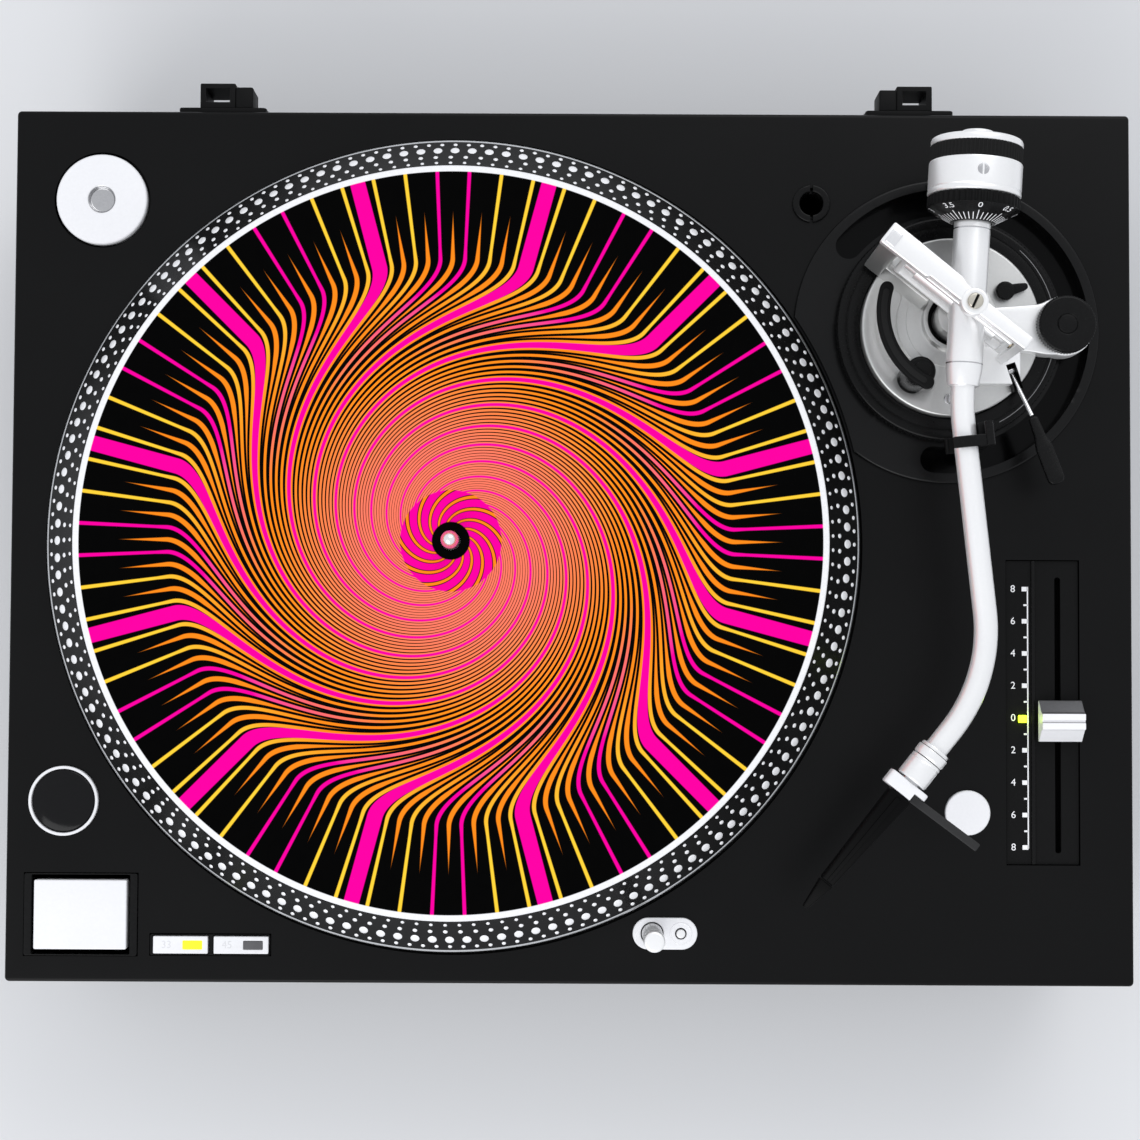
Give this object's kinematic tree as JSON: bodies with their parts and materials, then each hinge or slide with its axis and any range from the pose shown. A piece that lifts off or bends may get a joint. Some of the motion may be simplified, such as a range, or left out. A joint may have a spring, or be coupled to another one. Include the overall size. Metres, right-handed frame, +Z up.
{
  "type": "record player",
  "caption": "Direct-drive record player with a dotted platter, printed slipmat, S-shaped tonearm, pitch fader, start and speed buttons and a pop-up target light, on rubber feet.",
  "frame": {"origin": "on the table, under the middle of the part's box", "axes": "+Z up, +Y towards the hinge brackets at the rear, +X towards the tonearm side"},
  "size_m": [0.453, 0.3651, 0.1661],
  "materials": {
    "black_paint": "satin",
    "black_plastic": "fine grain",
    "white_plastic": "gloss",
    "rubber": "matt",
    "cast_aluminium": "machined",
    "silver": "satin",
    "steel": "polished",
    "magnet": "matt",
    "board": "solder mask",
    "copper": "enamelled",
    "brass": "turned",
    "felt": "printed felt",
    "lamp": "lit lens",
    "dark_lamp": "unlit lens"
  },
  "bodies": {
    "chassis": {"plinth_top": "black_paint", "rubber_base": "rubber", "foot_front_left": "rubber", "foot_front_right": "rubber", "foot_rear_left": "rubber", "foot_rear_right": "rubber", "hinge_bracket_left": "black_plastic", "hinge_bracket_right": "black_plastic", "transformer": "magnet", "main_board": "board", "terminal_panel": "brass", "stator_board": "board", "stator_coils": "copper", "bearing_housing": "brass", "start_frame": "black_plastic", "speed_frame": "black_plastic", "target_light_plate": "white_plastic", "pitch_panel": "black_plastic", "pitch_lamp": "lamp", "fader_track": "steel", "headshell_holder": "black_plastic", "arm_base_housing": "black_paint", "power_ring": "white_plastic"},
    "platter_group": {"platter": "cast_aluminium", "rotor_magnet": "magnet", "spindle": "steel"},
    "mat": {"slipmat": "felt"},
    "adapter": {"adapter_45": "white_plastic"},
    "power": {"power_button": "black_plastic"},
    "start": {"start_button": "white_plastic"},
    "speed_33": {"speed_button_33": "white_plastic", "speed_lamp_33": "lamp"},
    "speed_45": {"speed_button_45": "white_plastic", "speed_lamp_45": "dark_lamp"},
    "target_light": {"target_light_post": "silver"},
    "target_release": {"target_light_button": "silver"},
    "reset": {"reset_button": "white_plastic"},
    "fader": {"fader_knob": "silver"},
    "arm_lift_base": {"arm_base_plate": "silver", "gimbal_bridge": "silver", "bearing_screw": "brass", "lifter_cylinder": "black_plastic", "arm_rest": "black_plastic"},
    "height_dial": {"height_ring": "black_plastic"},
    "anti_skate": {"anti_skate_dial": "black_plastic"},
    "lock": {"lock_lever": "black_plastic"},
    "cue_lever": {"cue_lever_rod": "steel", "cue_lever_grip": "black_plastic"},
    "lifter": {"lifter_bar": "black_plastic"},
    "clip": {"arm_clip": "black_plastic"},
    "yoke": {"yaw_yoke": "silver"},
    "tonearm": {"arm_housing": "silver", "arm_tube": "silver", "pickup_collar": "white_plastic", "finger_lift": "black_plastic", "pickup_body": "black_plastic", "stylus_unit": "black_plastic"},
    "nut": {"headshell_nut": "silver"},
    "dial": {"force_dial": "black_plastic"},
    "weight": {"counterweight": "silver"}
  },
  "joints": [
    {"name": "platter_spin", "type": "hinge", "parent": "chassis", "child": "platter_group", "pos_m": [-0.04725, -0.00625, 0.1], "axis": [0, 0, 1], "continuous": true},
    {"name": "slipmat_slip", "type": "hinge", "parent": "platter_group", "child": "mat", "pos_m": [-0.04725, -0.00625, 0.124], "axis": [0, 0, 1], "continuous": true},
    {"name": "adapter_lift", "type": "slide", "parent": "chassis", "child": "adapter", "axis": [0, 0, 1], "range_m": [0, 0.02]},
    {"name": "power_press", "type": "slide", "parent": "chassis", "child": "power", "axis": [0, 0, 1], "range_m": [-0.0015, 0], "stiffness_N_per_m": 900},
    {"name": "start_press", "type": "slide", "parent": "chassis", "child": "start", "axis": [0, 0, 1], "range_m": [-0.0015, 0], "stiffness_N_per_m": 900},
    {"name": "speed_33_press", "type": "slide", "parent": "chassis", "child": "speed_33", "axis": [0, 0, 1], "range_m": [-0.0012, 0], "stiffness_N_per_m": 600},
    {"name": "speed_45_press", "type": "slide", "parent": "chassis", "child": "speed_45", "axis": [0, 0, 1], "range_m": [-0.0012, 0], "stiffness_N_per_m": 600},
    {"name": "target_light_pop", "type": "slide", "parent": "chassis", "child": "target_light", "axis": [0, 0, 1], "range_m": [-0.026, 0]},
    {"name": "target_release_press", "type": "slide", "parent": "chassis", "child": "target_release", "axis": [0, 0, 1], "range_m": [-0.001, 0], "stiffness_N_per_m": 300},
    {"name": "reset_press", "type": "slide", "parent": "chassis", "child": "reset", "axis": [0, 0, 1], "range_m": [-0.0015, 0], "stiffness_N_per_m": 600},
    {"name": "pitch_fader", "type": "slide", "parent": "chassis", "child": "fader", "axis": [0, 1, 0], "range_m": [-0.0503, 0.055]},
    {"name": "arm_height", "type": "slide", "parent": "chassis", "child": "arm_lift_base", "axis": [0, 0, 1], "range_m": [0, 0.006]},
    {"name": "height_ring_turn", "type": "hinge", "parent": "chassis", "child": "height_dial", "pos_m": [0.1516, 0.081, 0.105], "axis": [0, 0, 1], "range_deg": [0, 150.1]},
    {"name": "anti_skate_turn", "type": "hinge", "parent": "arm_lift_base", "child": "anti_skate", "pos_m": [0.1956, 0.0807, 0.122], "axis": [0, 0, 1], "range_deg": [0, 180]},
    {"name": "lock_turn", "type": "hinge", "parent": "arm_lift_base", "child": "lock", "pos_m": [0.1727, 0.0951, 0.115], "axis": [0, 0, 1], "range_deg": [0, 70]},
    {"name": "cue_lever_turn", "type": "hinge", "parent": "arm_lift_base", "child": "cue_lever", "pos_m": [0.1749, 0.0631, 0.1146], "axis": [-0.9446, -0.3281, 0], "range_deg": [0, 60.2]},
    {"name": "lifter_rise", "type": "slide", "parent": "arm_lift_base", "child": "lifter", "axis": [0, 0, 1], "range_m": [0, 0.0025]},
    {"name": "clip_turn", "type": "hinge", "parent": "arm_lift_base", "child": "clip", "pos_m": [0.15944, 0.03188, 0.1542], "axis": [-0.1097, 0.994, 0], "range_deg": [0, 100]},
    {"name": "arm_yaw", "type": "hinge", "parent": "arm_lift_base", "child": "yoke", "pos_m": [0.1519, 0.083, 0.148], "axis": [0, 0, 1], "range_deg": [-42, 0]},
    {"name": "arm_pitch", "type": "hinge", "parent": "yoke", "child": "tonearm", "pos_m": [0.1519, 0.083, 0.148], "axis": [-0.7826, 0.6225, 0], "range_deg": [-1.8, 0]},
    {"name": "headshell_nut_turn", "type": "hinge", "parent": "tonearm", "child": "nut", "pos_m": [0.13301, -0.09421, 0.148], "axis": [-0.6225, -0.7826, 0], "range_deg": [0, 45]},
    {"name": "counterweight_travel", "type": "slide", "parent": "tonearm", "child": "dial", "axis": [0.061, 0.9981, 0], "range_m": [0, 0.002]},
    {"name": "counterweight_turn", "type": "hinge", "parent": "dial", "child": "weight", "pos_m": [0.15495, 0.13291, 0.148], "axis": [0.061, 0.9981, 0], "range_deg": [0, 360.2]}
  ],
  "couplings": [
    {"joint": "height_ring_turn", "follows": "arm_height", "rad_per_m": 436.33},
    {"joint": "cue_lever_turn", "follows": "lifter_rise", "rad_per_m": 418.88},
    {"joint": "counterweight_turn", "follows": "counterweight_travel", "rad_per_m": 3141.6}
  ]
}
